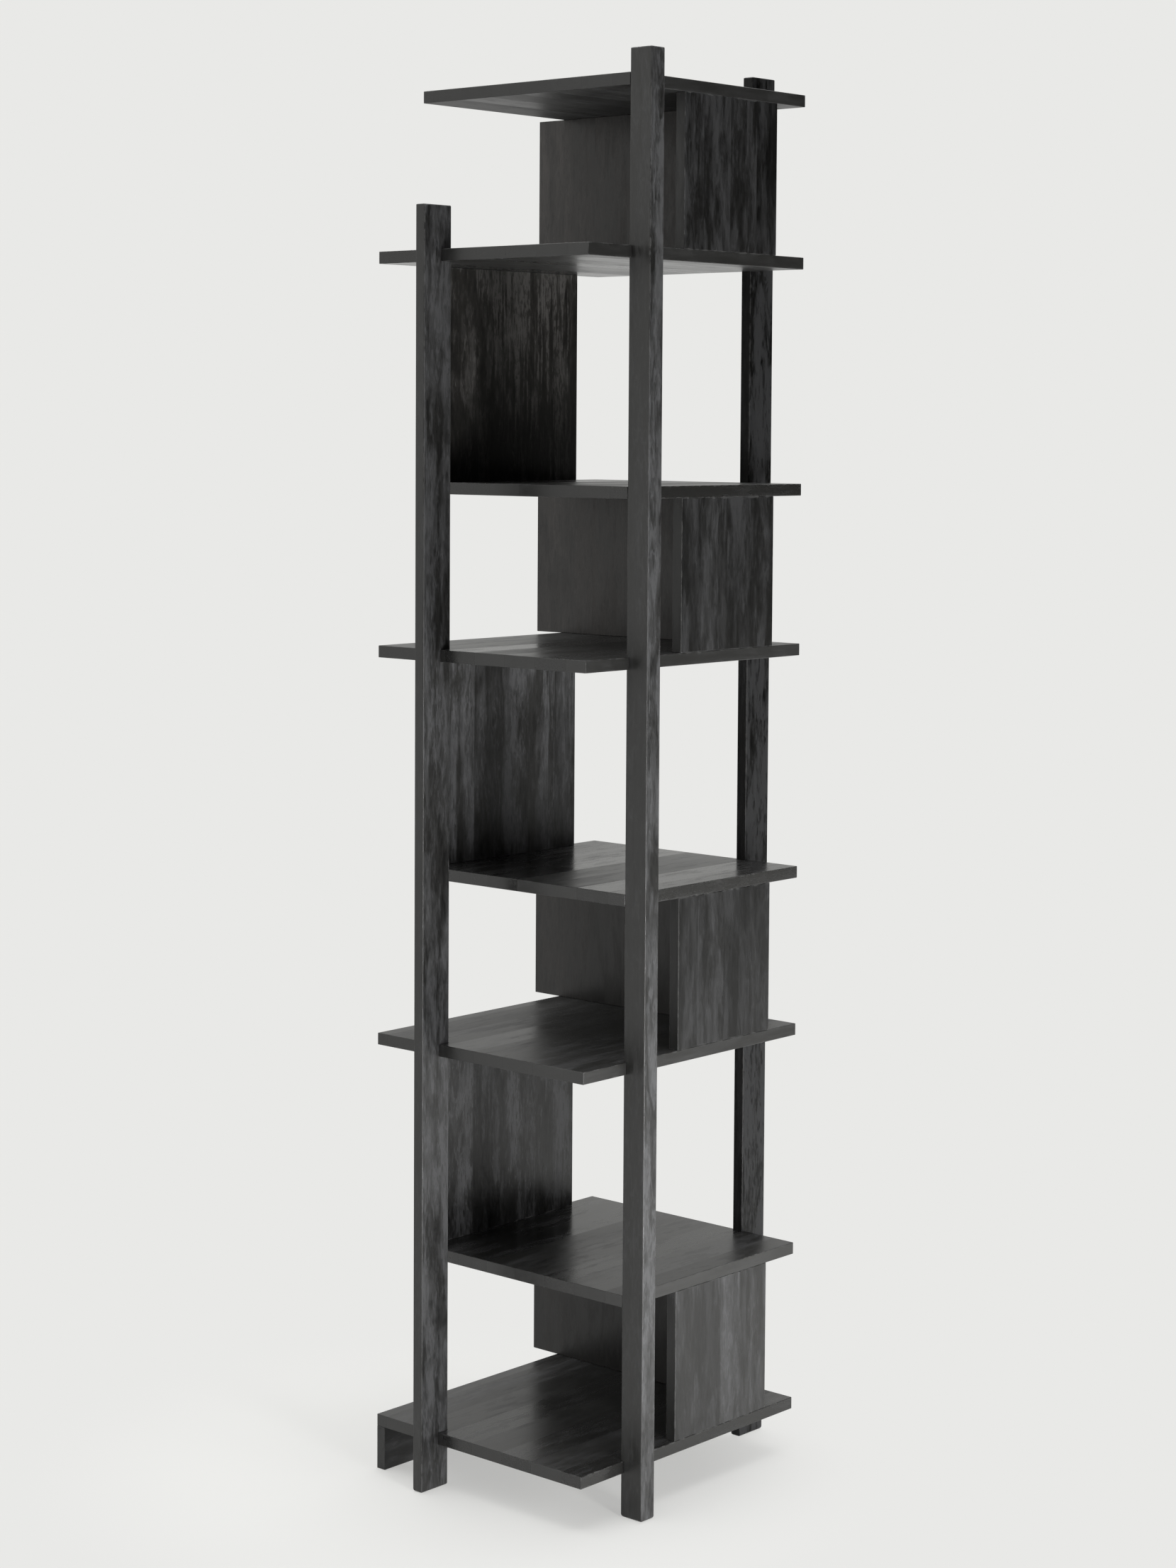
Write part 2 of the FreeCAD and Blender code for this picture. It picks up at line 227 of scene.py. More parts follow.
@dataclass(frozen=True)
class Grain:
    """Sizes of the wood's figure, and the limits between which its marks set in."""

    # Staves and the joints between them
    stave_draw: float = 31.7
    stave_shift: Size = (7.0, 0.9, 0.9)
    joint: float = 0.0005

    # Growth rings and the streaks that they leave
    sweep: Cloud = Cloud((0.20, 0.030, 0.060), 3.0, 0.55)
    strand: Cloud = Cloud((0.30, 0.0045, 0.0045), 1.0, 0.5)
    ring: Cloud = Cloud((0.110, 0.028, 0.0070), 4.0, 0.62)
    band: Cloud = Cloud((0.60, 0.014, 0.014), 2.0, 0.5)
    mottle: Cloud = Cloud((0.009, 0.0035, 0.0035), 2.0, 0.6)
    fibre: Cloud = Cloud((0.020, 0.0011, 0.0011), 1.0, 0.5)
    strand_pull: float = 0.022
    band_share: float = 0.25
    mottle_share: float = 0.12
    fibre_share: float = 0.03
    sweep_share: float = 0.32
    bare_level: float = 0.7
    cover_fall: float = -0.4
    layers: tuple[float, ...] = (-0.075, -0.025, 0.025, 0.075)
    layer_edge: float = 0.006
    layered: float = 0.75

    # Patches and smudges, flecks and cracks, and curly strands
    blot: Cloud = Cloud((0.050, 0.013, 0.020), 4.0, 0.65)
    blot_sweep: float = 0.5
    patch_edge: Span = (0.57, 0.59)
    smudge_edge: Span = (0.39, 0.41)
    fleck: Cloud = Cloud((0.022, 0.0050, 0.0050), 2.0, 0.55)
    fleck_sweep: float = 0.3
    fleck_edge: Span = (0.585, 0.60)
    crack_edge: Span = (0.38, 0.395)
    curl: Cloud = Cloud((0.042, 0.0095, 0.0095), 3.0, 0.55)
    curl_edge: Span = (0.015, 0.045)
    curl_blot: float = 0.5
    curl_field: Span = (0.46, 0.56)

    # Pores, end grain, and arrises worn pale with a painted highlight
    pore: Cloud = Cloud((0.011, 0.0007, 0.0007), 2.0, 0.5)
    pore_edge: Span = (0.60, 0.72)
    speck: Cloud = Cloud((0.002, 0.0016, 0.0016), 2.0, 0.6)
    facing: Span = (0.6, 0.9)
    chafe: Cloud = Cloud((0.012, 0.012, 0.012), 4.0, 0.6)
    chafe_edge: Span = (0.42, 0.68)
    chafe_reach: Span = (0.1, 1.8)

    # Pale runs below the top end of a board
    run: Cloud = Cloud((0.20, 0.0075, 0.0075), 3.0, 0.6)
    run_shift: float = 0.37
    run_cluster: Cloud = Cloud((0.50, 0.055, 0.055), 1.0, 0.5)
    run_clustered: float = 0.45
    run_edge: Span = (0.49, 0.60)
    run_side: float = 0.05
    run_least: float = 0.12
    run_break: Cloud = Cloud((0.014, 0.0040, 0.0040), 3.0, 0.6)
    run_ragged: float = 0.06
    run_fade: float = 0.75
    run_break_edge: Span = (0.45, 0.51)
    run_broken: float = 0.25


class WoodEffects:
    """Builds the node groups of the wood once, and places them in materials."""

    def __init__(self, grain: Grain) -> None:
        """Build every group.

        Args:
            grain: Sizes of the figure.
        """
        self.grain = grain
        self.groups: dict[Effect, bpy.types.NodeTree] = {}
        for effect, build in (
            (Effect.FRAME, self.grain_frame),
            (Effect.STAVES, self.stave_layout),
            (Effect.FIGURE, self.flat_sawn_figure),
            (Effect.PORES, self.open_pores),
            (Effect.ENDS, self.end_grain),
            (Effect.ARRIS, self.arris_wear),
            (Effect.RUNS, self.stain_runs),
        ):
            self.groups[effect] = bpy.data.node_groups.new(effect.value, "ShaderNodeTree")
            build(self.groups[effect])

    def place(self, graph: Graph, effect: Effect, inputs: dict[str, Value]) -> Any:
        """Put a group into a material with its own values.

        Args:
            graph: Graph of the material.
            effect: Which group to place.
            inputs: Values and links by the name of the group's input.

        Returns:
            The outputs of the group node.
        """
        node = graph.add("Group", node_tree=self.groups[effect])
        for name, value in inputs.items():
            graph.fill(node.inputs[name], value)
        return node.outputs

    @staticmethod
    def sockets(tree: bpy.types.NodeTree, vectors: str, floats: str, out_vectors: str,
                out_floats: str) -> tuple[Graph, Any, Any]:
        """Give a group its named sockets.

        Args:
            tree: Tree of the group.
            vectors: Names of its vector inputs.
            floats: Names of its number inputs.
            out_vectors: Names of its vector outputs.
            out_floats: Names of its number outputs.

        Returns:
            The group's graph, its inputs to link from and its outputs to link to.
        """
        for way, kind, names in (("INPUT", "Vector", vectors), ("INPUT", "Float", floats),
                                 ("OUTPUT", "Vector", out_vectors), ("OUTPUT", "Float", out_floats)):
            for name in names.split():
                tree.interface.new_socket(name, in_out=way, socket_type="NodeSocket" + kind)
        given = tree.nodes.new("NodeGroupInput").outputs
        wanted = tree.nodes.new("NodeGroupOutput").inputs
        return Graph(tree), given, wanted

    def grain_frame(self, tree: bpy.types.NodeTree) -> None:
        """Turn object coordinates into places along, across and through a board.

        Args:
            tree: Tree of the group.
        """
        graph, given, wanted = self.sockets(tree, "Vector Along Across Through", "", "Vector", "")
        places = [graph.dot(given["Vector"], given[name]) for name in ("Along", "Across", "Through")]
        graph.fill(wanted["Vector"], graph.join(*places))

    def stave_layout(self, tree: bpy.types.NodeTree) -> None:
        """Split a board into staves, each with its own tone and its own part of the figure.

        Args:
            tree: Tree of the group.
        """
        graph, given, wanted = self.sockets(tree, "Vector", "Width Seed", "Vector", "Tone Bold Joint")
        across = graph.split(given["Vector"])[1]
        place = graph.math("ADD", graph.math("DIVIDE", across, given["Width"]), given["Seed"])
        number = graph.math("FLOOR", place)
        ticket = graph.math("MULTIPLY_ADD", given["Seed"], self.grain.stave_draw, number)
        draw = graph.add("TexWhiteNoise", {"W": ticket}, noise_dimensions="1D").outputs
        shift = graph.vector("MULTIPLY", draw["Color"], self.grain.stave_shift)
        graph.fill(wanted["Vector"], graph.vector("ADD", given["Vector"], shift))
        graph.fill(wanted["Tone"], draw["Value"])
        graph.fill(wanted["Bold"], graph.split(draw["Color"])[2])
        rest = graph.math("SUBTRACT", place, number)
        nearest = graph.math("MINIMUM", rest, graph.math("SUBTRACT", 1.0, rest))
        edge = graph.math("MULTIPLY", nearest, given["Width"])
        graph.fill(wanted["Joint"], graph.ramp(edge, 0.0, self.grain.joint, 1.0, 0.0))

    def flat_sawn_figure(self, tree: bpy.types.NodeTree) -> None:
        """Growth rings that lie nearly flat in a board: ragged streaks on its faces, lines on its edges.

        Args:
            tree: Tree of the group.
        """
        graph, given, wanted = self.sockets(tree, "Vector", "Warp Cover Soft", "",
                                            "Streak Fibre Patch Smudge Fleck Crack Curl")
        grain, place = self.grain, given["Vector"]
        sweep = graph.noise(place, grain.sweep)
        lift = graph.sway(sweep, given["Warp"], 0.0)
        slip = graph.sway(graph.noise(place, grain.strand), grain.strand_pull, 0.0)
        slipped = graph.vector("ADD", place, graph.join(slip, 0.0, 0.0))
        ring = graph.noise(graph.vector("ADD", slipped, graph.join(0.0, 0.0, lift)), grain.ring)
        body = graph.move(ring, graph.noise(place, grain.band), grain.band_share)
        body = graph.sway(graph.noise(place, grain.mottle), grain.mottle_share, body)
        fibre = graph.noise(place, grain.fibre)
        body = graph.sway(fibre, grain.fibre_share, body)
        body = graph.sway(sweep, grain.sweep_share, body)
        graph.fill(wanted["Streak"], self.terraced(graph, body, given["Cover"], given["Soft"]))
        graph.fill(wanted["Fibre"], fibre)
        self.marks(graph, slipped, sweep, wanted)

    def terraced(self, graph: Graph, body: Socket, cover: Socket, soft: Socket) -> Socket:
        """Pale share of the figure, which rises partly softly and partly in ragged layers.

        Args:
            graph: Graph of the group.
            body: Level of the figure.
            cover: How much of the board is pale.
            soft: Half of the span in which the soft part rises.

        Returns:
            The pale share.
        """
        grain = self.grain
        middle = graph.math("MULTIPLY_ADD", cover, grain.cover_fall, grain.bare_level)
        start, end = graph.math("SUBTRACT", middle, soft), graph.math("ADD", middle, soft)
        streak = graph.math("MULTIPLY", graph.ramp(body, start, end), 1.0 - grain.layered)
        for layer in grain.layers:
            rim = graph.math("ADD", middle, layer)
            start = graph.math("SUBTRACT", rim, grain.layer_edge)
            end = graph.math("ADD", rim, grain.layer_edge)
            step = graph.ramp(body, start, end)
            streak = graph.math("MULTIPLY_ADD", step, grain.layered / len(grain.layers), streak)
        return streak

    def marks(self, graph: Graph, slipped: Socket, sweep: Socket, wanted: Any) -> None:
        """Masks of pale patches, flecks and curly strands, and of dark smudges and cracks.

        Args:
            graph: Graph of the group.
            slipped: Places in the board, with neighbouring strands slipped along the grain.
            sweep: Broad swings of the figure.
            wanted: Outputs of the group.
        """
        grain = self.grain
        blot = graph.sway(sweep, grain.blot_sweep, graph.noise(slipped, grain.blot))
        fleck = graph.sway(sweep, grain.fleck_sweep, graph.noise(slipped, grain.fleck))
        graph.fill(wanted["Patch"], graph.ramp(blot, *grain.patch_edge))
        graph.fill(wanted["Smudge"], graph.ramp(blot, *grain.smudge_edge, 1.0, 0.0))
        graph.fill(wanted["Fleck"], graph.ramp(fleck, *grain.fleck_edge))
        graph.fill(wanted["Crack"], graph.ramp(fleck, *grain.crack_edge, 1.0, 0.0))
        curl = graph.math("SUBTRACT", graph.noise(slipped, grain.curl), NOISE_MIDDLE)
        strand = graph.ramp(graph.math("ABSOLUTE", curl), *grain.curl_edge, 1.0, 0.0)
        field_of_curls = graph.ramp(graph.move(sweep, blot, grain.curl_blot), *grain.curl_field)
        graph.fill(wanted["Curl"], graph.math("MULTIPLY", strand, field_of_curls))

    def open_pores(self, tree: bpy.types.NodeTree) -> None:
        """Short dark dashes along the grain.

        Args:
            tree: Tree of the group.
        """
        graph, given, wanted = self.sockets(tree, "Vector", "", "", "Pore")
        dash = graph.noise(given["Vector"], self.grain.pore)
        graph.fill(wanted["Pore"], graph.ramp(dash, *self.grain.pore_edge))

    def end_grain(self, tree: bpy.types.NodeTree) -> None:
        """Masks of the ends and of the broad faces of a board, and the specks of its ends.

        Args:
            tree: Tree of the group.
        """
        graph, given, wanted = self.sockets(tree, "Vector Along Through", "", "", "End Face Speck")
        normal = graph.add("TexCoord").outputs["Normal"]
        for part, axis in (("End", "Along"), ("Face", "Through")):
            facing = graph.math("ABSOLUTE", graph.dot(normal, given[axis]))
            graph.fill(wanted[part], graph.ramp(facing, *self.grain.facing))
        graph.fill(wanted["Speck"], graph.noise(given["Vector"], self.grain.speck))

    def arris_wear(self, tree: bpy.types.NodeTree) -> None:
        """Mask of the arrises of a board that fills a box, where the stain is worn pale and a highlight is
        painted.

        Args:
            tree: Tree of the group.
        """
        graph, given, wanted = self.sockets(tree, "Vector Lowest Highest", "Width", "", "Wear")
        near = graph.vector("MINIMUM", graph.vector("SUBTRACT", given["Vector"], given["Lowest"]),
                            graph.vector("SUBTRACT", given["Highest"], given["Vector"]))
        x, y, z = graph.split(near)
        lesser, greater = graph.math("MINIMUM", x, y), graph.math("MAXIMUM", x, y)
        edge = graph.math("MAXIMUM", lesser, graph.math("MINIMUM", greater, z))
        chafe = graph.noise(given["Vector"], self.grain.chafe)
        chafed = graph.ramp(chafe, *self.grain.chafe_edge, *self.grain.chafe_reach)
        reach = graph.math("MULTIPLY", given["Width"], chafed)
        graph.fill(wanted["Wear"], graph.ramp(edge, 0.0, reach, 1.0, 0.0))

    def stain_runs(self, tree: bpy.types.NodeTree) -> None:
        """Mask of ragged pale runs that hang down from the top end of a board.

        Args:
            tree: Tree of the group.
        """
        graph, given, wanted = self.sockets(tree, "Vector", "Top Reach Start Seed", "", "Run")
        grain = self.grain
        aside = graph.join(0.0, graph.math("MULTIPLY", given["Seed"], grain.run_shift), 0.0)
        place = graph.vector("ADD", given["Vector"], aside)
        run, cluster = graph.noise(place, grain.run), graph.noise(place, grain.run_cluster)
        spread = graph.move(run, cluster, grain.run_clustered)
        along, across, _ = graph.split(given["Vector"])
        inner = graph.math("ADD", given["Start"], grain.run_side)
        whole = graph.ramp(across, given["Start"], inner, grain.run_least, 1.0)
        reach = graph.ramp(spread, *grain.run_edge, 0.0, graph.math("MULTIPLY", given["Reach"], whole))
        broken = graph.noise(place, grain.run_break)
        below = graph.sway(broken, grain.run_ragged, graph.math("SUBTRACT", given["Top"], along))
        inside = graph.ramp(below, graph.math("MULTIPLY", reach, grain.run_fade), reach, 1.0, 0.0)
        unbroken = graph.ramp(broken, *grain.run_break_edge, grain.run_broken, 1.0)
        graph.fill(wanted["Run"], graph.math("MULTIPLY", inside, unbroken))


@dataclass(frozen=True)
class Character:
    """How one board differs from its neighbours.

    Attributes:
        tone: How light its stain came out, with painted light and shade in it: the board is made lighter or
            darker for how light falls where it stands.
        life: How bold its figure is.
        cover: How much more of it is pale.
        runs: How far pale runs hang from its top.
        runs_from: Where across it the runs start, as a share of its width, or all over it if below 0.
        tint: How its colour leans.
        dull: How much rougher its varnish dried.
        shine: How strongly its varnish reflects.
    """

    tone: float = 1.0
    life: float = 1.0
    cover: float = 0.0
    runs: float = 0.0
    runs_from: float = -1.0
    tint: Colour = (1.0, 1.0, 1.0)
    dull: float = 0.0
    shine: float = 1.0


@dataclass(frozen=True)
class Surface:
    """Wood effects placed over one board.

    Attributes:
        graph: Graph of the board's material.
        staves: Outputs of the stave layout.
        figure: Outputs of the flat sawn figure.
        ends: Outputs of the end grain.
        pore: Mask of the open pores.
        wear: Mask of the arrises, where the stain is worn pale and a highlight is painted.
        life: Boldness of the figure, lower on the board's edges.
        run: Mask of the pale runs, on a board that has some.
    """

    graph: Graph
    staves: Any
    figure: Any
    ends: Any
    pore: Socket
    wear: Socket
    life: Socket
    run: Optional[Socket]


@dataclass(frozen=True)
class StainedWood:
    """Dark stain and satin varnish on solid boards of edge-glued staves."""

    # Dark ground, pale figure, and arrises worn pale with a painted highlight
    ground: Colour = (0.0136, 0.0134, 0.0128)
    pale: Colour = (0.0555, 0.0560, 0.0580)
    # Pale colour of the arrises: partly worn stain, partly a painted highlight of the eased edges
    rubbed_and_highlight: Colour = (0.085, 0.085, 0.083)

    # Width and tones of the staves, and the line of their joints
    stave: float = 0.056
    tone_spread: float = 0.22
    joint_depth: float = 0.45

    # Spread of the pale figure, and its boldness on staves and on edges
    cover: float = 0.42
    soft: float = 0.18
    warp: float = 0.030
    bold: Span = (0.42, 0.92)
    edge_bold: float = 0.25

    # Strength of the pale marks
    patch: float = 0.18
    fleck: float = 0.18
    curl: float = 0.40
    run: float = 0.65

    # Strength of the dark marks
    smudge: float = 0.25
    crack: float = 0.25
    fibre_depth: float = 0.03
    pore_depth: float = 0.10

    # End grain, and arrises worn pale with a painted highlight
    end_depth: float = 0.85
    end_pale: float = 0.22
    end_speck: float = 0.15
    wear_and_highlight_width: float = 0.0016
    wear_and_highlight_depth: float = 0.28

    # Varnish on ground and on pale figure, and how staves, patches and wear change it
    rough: Span = (0.32, 0.50)
    stave_rough: float = 0.06
    patch_rough: float = 0.04
    worn_rough: float = 0.75
    gloss: float = 0.5

    # Raised fibres and sunk pores
    relief: float = 0.00025
    bump: float = 0.12
    pore_sink: float = 0.7

    def material(self, board: "Board", effects: WoodEffects) -> bpy.types.Material:
        """Make the material of one board.

        Args:
            board: The board.
            effects: Node groups of the wood.

        Returns:
            The material.
        """
        material, graph, shader = open_material(board.node + " stain")
        shader.inputs["Specular IOR Level"].default_value = self.gloss * board.character.shine
        surface = self.lay_out(graph, board, effects)
        graph.fill(shader.inputs["Base Color"], self.colour(surface, board.character))
        graph.fill(shader.inputs["Roughness"], self.sheen(surface, board.character))
        graph.fill(shader.inputs["Normal"], self.raised_grain(surface))
        return material

    def lay_out(self, graph: Graph, board: "Board", effects: WoodEffects) -> Surface:
        """Place the wood effects over a board.

        Args:
            graph: Graph of the board's material.
            board: The board.
            effects: Node groups of the wood.

        Returns:
            The placed effects.
        """
        lie, character, seed = board.lie, board.character, float(board.seed)
        place = graph.add("TexCoord").outputs["Object"]
        wood = effects.place(graph, Effect.FRAME, {"Vector": place, **lie.axes()})["Vector"]
        staves = effects.place(graph, Effect.STAVES, {"Vector": wood, "Width": self.stave, "Seed": seed})
        figure = effects.place(graph, Effect.FIGURE, {
            "Vector": staves["Vector"], "Warp": self.warp,
            "Cover": self.cover + character.cover, "Soft": self.soft})
        pore = effects.place(graph, Effect.PORES, {"Vector": staves["Vector"]})["Pore"]
        ends = effects.place(graph, Effect.ENDS, {
            "Vector": wood, "Along": lie.axis(0), "Through": lie.axis(2)})
        wear = effects.place(graph, Effect.ARRIS, {
            "Vector": place, "Lowest": board.low, "Highest": board.high, "Width": self.wear_and_highlight_width})["Wear"]
        life = graph.ramp(ends["Face"], 0.0, 1.0, self.edge_bold * character.life, character.life)
        run = None
        if character.runs:
            start = board.low.lerp(board.high, character.runs_from).dot(lie.axis(1))
            run = effects.place(graph, Effect.RUNS, {
                "Vector": wood, "Top": board.high.dot(lie.axis(0)), "Start": start,
                "Reach": character.runs, "Seed": seed})["Run"]
        return Surface(graph, staves, figure, ends, pore, wear, life, run)

    def paleness(self, surface: Surface) -> Socket:
        """How pale the stain is, from streaks, pale marks, runs and end grain.

        Args:
            surface: The placed effects.

        Returns:
            The share of the pale colour.
        """
        graph, figure, ends = surface.graph, surface.figure, surface.ends
        bold = graph.math("MULTIPLY", graph.ramp(surface.staves["Bold"], 0.0, 1.0, *self.bold), surface.life)
        marks = graph.math("MULTIPLY", figure["Patch"], self.patch)
        marks = graph.math("MULTIPLY_ADD", figure["Curl"], self.curl, marks)
        marks = graph.math("MULTIPLY_ADD", figure["Fleck"], self.fleck, marks)
        marks = graph.math("MULTIPLY", marks, surface.life)
        streak = graph.math("MULTIPLY_ADD", figure["Streak"], bold, marks)
        if surface.run is not None:
            streak = graph.math("MULTIPLY_ADD", surface.run, self.run, streak)
        speck = graph.sway(ends["Speck"], self.end_speck, self.end_pale)
        return graph.between(graph.math("MULTIPLY", ends["End"], self.end_depth), streak, speck)

    def shade(self, surface: Surface, character: Character) -> Socket:
        """How the stain darkens, from stave to stave and in fibres, smudges, cracks, pores and joints.

        Args:
            surface: The placed effects.
            character: Character of the board.

        Returns:
            The factor on the colour.
        """
        graph, figure, staves = surface.graph, surface.figure, surface.staves
        shade = graph.sway(figure["Fibre"], 2.0 * self.fibre_depth, 1.0)
        tone = graph.sway(staves["Tone"], 2.0 * self.tone_spread, 1.0)
        # The board's tone lightens or darkens it: partly its own stain, partly painted light and shade
        shade = graph.math("MULTIPLY", shade, graph.math("MULTIPLY", tone, character.tone))
        marks = graph.math("MULTIPLY", figure["Smudge"], -self.smudge)
        marks = graph.math("MULTIPLY_ADD", figure["Crack"], -self.crack, marks)
        marks = graph.math("MULTIPLY", marks, surface.life)
        shade = graph.math("MULTIPLY", shade, graph.math("ADD", marks, 1.0))
        for mark, depth in ((surface.pore, self.pore_depth), (staves["Joint"], self.joint_depth)):
            shade = graph.math("MULTIPLY", shade, graph.math("MULTIPLY_ADD", mark, -depth, 1.0))
        return shade

    def colour(self, surface: Surface, character: Character) -> Socket:
        """Colour of the stain, worn pale along the arrises and with a painted highlight there.

        Args:
            surface: The placed effects.
            character: Character of the board.

        Returns:
            The colour.
        """
        graph = surface.graph
        colour = graph.mix(self.paleness(surface), (*self.ground, 1.0), (*self.pale, 1.0))
        shade = self.shade(surface, character)
        lean = graph.join(*[graph.math("MULTIPLY", shade, share) for share in character.tint])
        colour = graph.mix(1.0, colour, lean, "MULTIPLY")
        # Arrises are mixed towards the pale colour: partly worn stain, partly a painted highlight
        return graph.mix(graph.math("MULTIPLY", surface.wear, self.wear_and_highlight_depth), colour, (*self.rubbed_and_highlight, 1.0))

    def sheen(self, surface: Surface, character: Character) -> Socket:
        """Roughness of the varnish.

        Args:
            surface: The placed effects.
            character: Character of the board.

        Returns:
            The roughness.
        """
        graph, figure = surface.graph, surface.figure
        rough = graph.ramp(figure["Streak"], 0.0, 1.0, *(level + character.dull for level in self.rough))
        rough = graph.sway(surface.staves["Tone"], self.stave_rough, rough)
        rough = graph.math("MULTIPLY_ADD", figure["Patch"], self.patch_rough, rough)
        return graph.between(surface.wear, rough, self.worn_rough)

    def raised_grain(self, surface: Surface) -> Socket:
        """Normals of the raised fibres, sunk pores and sunk joints.

        Args:
            surface: The placed effects.

        Returns:
            The normals.
        """
        graph = surface.graph
        height = graph.math("MULTIPLY_ADD", surface.pore, -self.pore_sink, surface.figure["Fibre"])
        height = graph.math("SUBTRACT", height, surface.staves["Joint"])
        bump = graph.add("Bump", {"Strength": self.bump, "Distance": self.relief, "Height": height})
        return bump.outputs[0]


@dataclass(frozen=True)
class BareWood:
    """Unstained hardwood of the hidden loose tenons."""

    early: Colour = (0.42, 0.29, 0.17)
    late: Colour = (0.27, 0.17, 0.09)
    cover: float = 0.5
    soft: float = 0.2
    warp: float = 0.02
    fibre_edge: Span = (0.25, 0.75)
    rough: Span = (0.55, 0.75)

    def material(self, name: str, effects: WoodEffects, lie: Lie) -> bpy.types.Material:
        """Make the material.

        Args:
            name: Name of the material.
            effects: Node groups of the wood.
            lie: How the tenons lie.

        Returns:
            The material.
        """
        material, graph, shader = open_material(name)
        place = graph.add("TexCoord").outputs["Object"]
        wood = effects.place(graph, Effect.FRAME, {"Vector": place, **lie.axes()})["Vector"]
        figure = effects.place(graph, Effect.FIGURE, {
            "Vector": wood, "Warp": self.warp, "Cover": self.cover, "Soft": self.soft})
        colour = graph.mix(figure["Streak"], (*self.early, 1.0), (*self.late, 1.0))
        graph.fill(shader.inputs["Base Color"], colour)
        graph.fill(shader.inputs["Roughness"], graph.ramp(figure["Fibre"], *self.fibre_edge, *self.rough))
        return material


@dataclass
class Workbench:
    """Hand work that every board goes through."""

    station: float = 0.045
    foot_height: float = 0.0045
    segments: int = 3
    sharp: float = radians(40.0)
    least_ease: float = 0.55
    face_weight: int = 100

    @staticmethod
    def take_up(board: bpy.types.Object) -> None:
        """Select a board alone and make it active.

        Args:
            board: The board.
        """
        bpy.ops.object.select_all(action="DESELECT")
        board.select_set(True)
        bpy.context.view_layer.objects.active = board

    def blank(self, name: str, low: Vector, high: Vector) -> bpy.types.Object:
        """Saw a blank that fills a box.

        Args:
            name: Name of the new piece.
            low: Lowest corner of the box.
            high: Highest corner of the box.

        Returns:
            The blank, with its place in its mesh.
        """
        bpy.ops.object.select_all(action="DESELECT")
        bpy.ops.mesh.primitive_cube_add(size=1.0, location=(low + high) / 2.0)
        blank = bpy.context.object
        blank.name = blank.data.name = name
        blank.scale = high - low
        bpy.ops.object.transform_apply(location=True, rotation=True, scale=True)
        return blank

    def mark_out(self, low: Vector, high: Vector) -> None:
        """Divide the faces of a new blank at stations along its long sides, where the easing changes.

        Args:
            low: Lowest corner of the blank.
            high: Highest corner of the blank.
        """
        bpy.ops.object.mode_set(mode="EDIT")
        for axis in range(3):
            count = round((high[axis] - low[axis]) / self.station)
            normal = [float(axis == other) for other in range(3)]
            for number in range(1, count):
                place = low.lerp(high, number / count)
                bpy.ops.mesh.select_all(action="SELECT")
                bpy.ops.mesh.bisect(plane_co=place, plane_no=normal)
        bpy.ops.object.mode_set(mode="OBJECT")

    def apply(self, board: bpy.types.Object, kind: str, **settings: Any) -> None:
        """Add a modifier to a board and apply it.

        Args:
            board: The board.
            kind: Type of the modifier.
            settings: Properties of the modifier.
        """
        self.take_up(board)
        bpy.ops.object.modifier_add(type=kind)
        modifier = board.modifiers[-1]
        for name, value in settings.items():
            setattr(modifier, name, value)
        bpy.ops.object.modifier_apply(modifier=modifier.name)

    def notch(self, board: bpy.types.Object, low: Vector, high: Vector) -> None:
        """Cut a box out of a board.

        Args:
            board: The board.
            low: Lowest corner of the box.
            high: Highest corner of the box.
        """
        cutter = self.blank("notch", low, high)
        self.apply(board, "BOOLEAN", operation="DIFFERENCE", solver="EXACT", object=cutter)
        bpy.data.objects.remove(cutter)

    def ease(self, board: bpy.types.Object, width: float, foot: float, draws: random.Random) -> None:
        """Round a board's arrises, more in some places than in others.

        Args:
            board: The board.
            width: Greatest width of the rounding.
            foot: Greatest width of the rounding round the board's lower end.
            draws: Source of the uneven widths.
        """
        greatest = max(width, foot)
        ground = min(vertex.co.z for vertex in board.data.vertices) + self.foot_height
        self.take_up(board)
        bpy.ops.object.mode_set(mode="EDIT")
        bpy.ops.mesh.select_mode(type="EDGE")
        bpy.ops.mesh.select_all(action="DESELECT")
        bpy.ops.mesh.edges_select_sharp(sharpness=self.sharp)
        bpy.ops.object.mode_set(mode="OBJECT")
        weights = board.data.attributes.new("bevel_weight_edge", "FLOAT", "EDGE")
        for edge in board.data.edges:
            if edge.select:
                standing = all(board.data.vertices[end].co.z < ground for end in edge.vertices)
                weights.data[edge.index].value = (draws.uniform(self.least_ease, 1.0)
                                                  * (foot if standing else width) / greatest)
        bpy.ops.object.shade_smooth()
        self.apply(board, "BEVEL", limit_method="WEIGHT", width=greatest, segments=self.segments)
        self.apply(board, "WEIGHTED_NORMAL", weight=self.face_weight)


